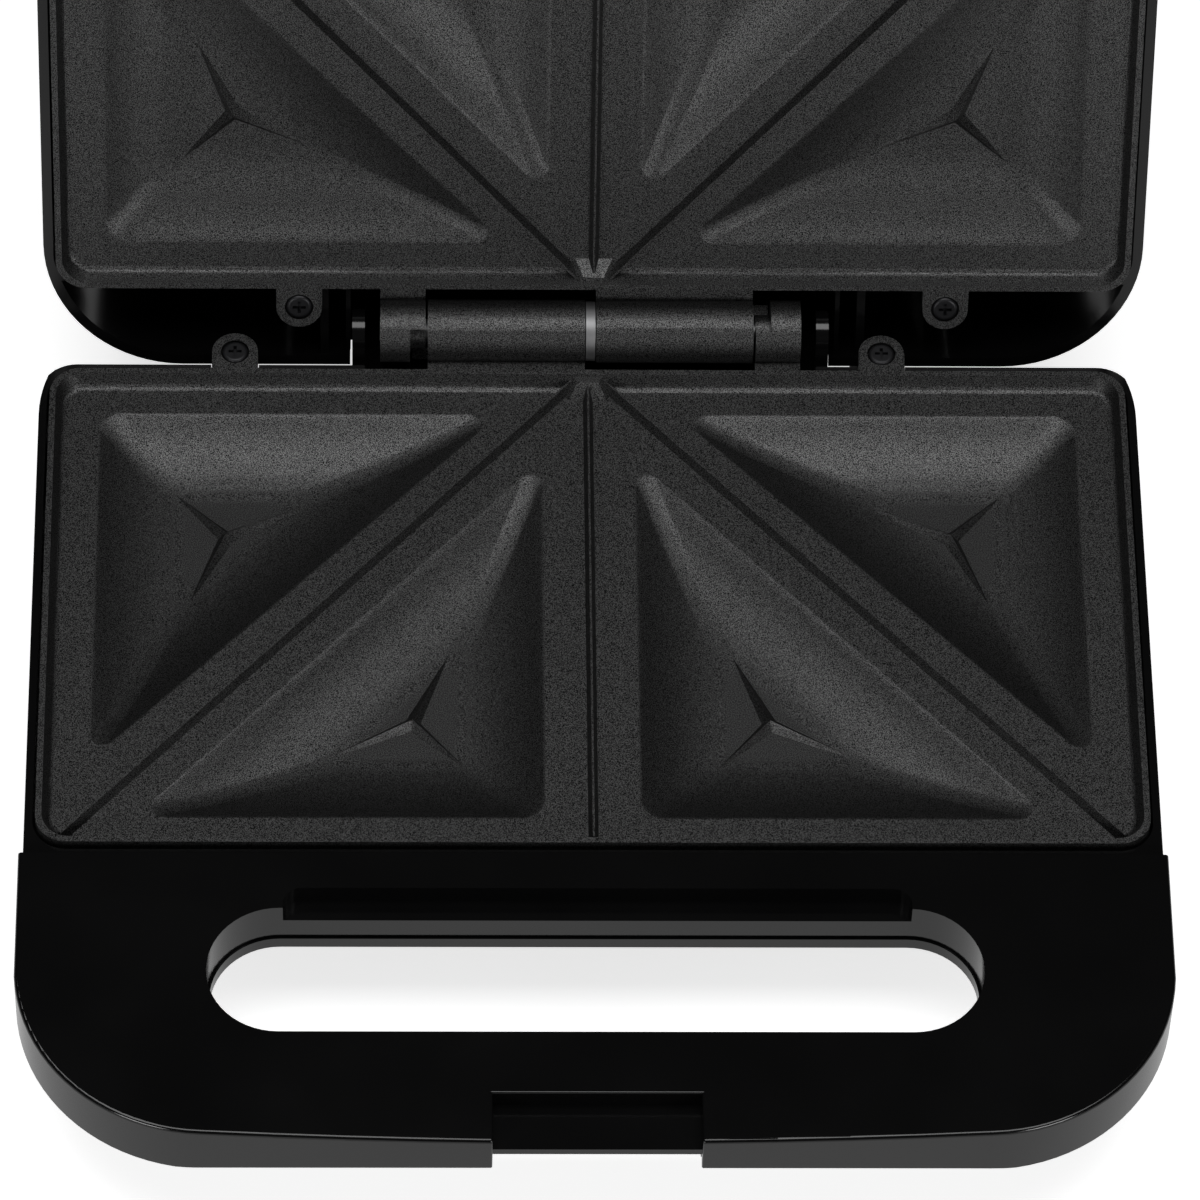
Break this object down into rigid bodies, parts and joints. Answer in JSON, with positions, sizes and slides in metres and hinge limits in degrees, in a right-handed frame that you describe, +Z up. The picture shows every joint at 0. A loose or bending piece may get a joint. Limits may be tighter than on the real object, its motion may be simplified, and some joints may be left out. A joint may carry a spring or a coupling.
{
  "type": "sandwich maker",
  "caption": "Countertop sandwich maker, open: two hinged black housings with handles, each holding a non-stick plate with triangular pockets.",
  "frame": {"origin": "on the table, under the middle of the open appliance's outer box", "axes": "X along the hinge, to the right seen from the handle; Y from the handle to the hinge; Z up"},
  "size_m": [0.2376, 0.2956, 0.2375],
  "materials": {
    "black_plastic": "glossy black injection-moulded plastic",
    "coated_aluminium": "charcoal non-stick coating with a fine speckle",
    "dark_steel": "black-finished steel screws",
    "foot_rubber": "dull black rubber",
    "pin_steel": "bare steel",
    "heater_steel": "dull heat-tinted steel tube",
    "terminal_brass": "plain brass",
    "reflector_sheet": "bright aluminised sheet",
    "thermostat_metal": "plain metal can",
    "white_insulator": "white insulating plastic",
    "gland_rubber": "black rubber",
    "brown_lead": "brown silicone insulation",
    "blue_lead": "blue silicone insulation",
    "red_lens": "tinted clear plastic",
    "green_lens": "tinted clear plastic",
    "lamp_board": "green circuit board"
  },
  "bodies": {
    "base": {"base_bottom_cover": "black_plastic", "base_handle_cover": "black_plastic", "base_handle_screw_1": "dark_steel", "base_handle_screw_2": "dark_steel", "base_handle_tray": "black_plastic", "base_shell": "black_plastic", "bottom_screw_1": "dark_steel", "bottom_screw_2": "dark_steel", "bottom_screw_3": "dark_steel", "bottom_screw_4": "dark_steel", "cord_gland": "gland_rubber", "cord_inlet_plate": "black_plastic", "foot_1": "foot_rubber", "foot_2": "foot_rubber", "foot_3": "foot_rubber", "foot_4": "foot_rubber", "hinge_pin": "pin_steel", "hinge_washer": "pin_steel", "lead_live": "brown_lead", "lead_neutral": "blue_lead", "lead_switched": "brown_lead", "lower_heater": "heater_steel", "lower_heater_terminals": "terminal_brass", "lower_plate": "coated_aluminium", "lower_plate_screw_1": "dark_steel", "lower_plate_screw_2": "dark_steel", "lower_reflector": "reflector_sheet", "lower_reflector_screw_1": "dark_steel", "lower_reflector_screw_2": "dark_steel", "lower_reflector_screw_3": "dark_steel", "lower_reflector_screw_4": "dark_steel", "terminal_block": "white_insulator", "thermal_fuse": "white_insulator", "thermostat": "thermostat_metal"},
    "lid": {"lamp_board": "lamp_board", "lamp_lens_green": "green_lens", "lamp_lens_red": "red_lens", "latch_pin": "pin_steel", "lead_lamp_1": "brown_lead", "lead_lamp_2": "blue_lead", "lid_handle_cover": "black_plastic", "lid_handle_screw_1": "dark_steel", "lid_handle_screw_2": "dark_steel", "lid_handle_tray": "black_plastic", "lid_shell": "black_plastic", "upper_heater": "heater_steel", "upper_heater_terminals": "terminal_brass", "upper_plate": "coated_aluminium", "upper_plate_screw_1": "dark_steel", "upper_plate_screw_2": "dark_steel", "upper_reflector": "reflector_sheet", "upper_reflector_screw_1": "dark_steel", "upper_reflector_screw_2": "dark_steel", "upper_reflector_screw_3": "dark_steel", "upper_reflector_screw_4": "dark_steel"},
    "latch": {"latch_clip": "black_plastic"}
  },
  "joints": [
    {"name": "lid_hinge", "type": "hinge", "parent": "base", "child": "lid", "pos_m": [0, 0.05523, 0.04], "axis": [1, 0, 0], "range_deg": [0, 113]},
    {"name": "latch_pivot", "type": "hinge", "parent": "lid", "child": "latch", "pos_m": [0.0006, 0.14099, 0.21902], "axis": [1, 0, 0], "range_deg": [0, 35]}
  ]
}
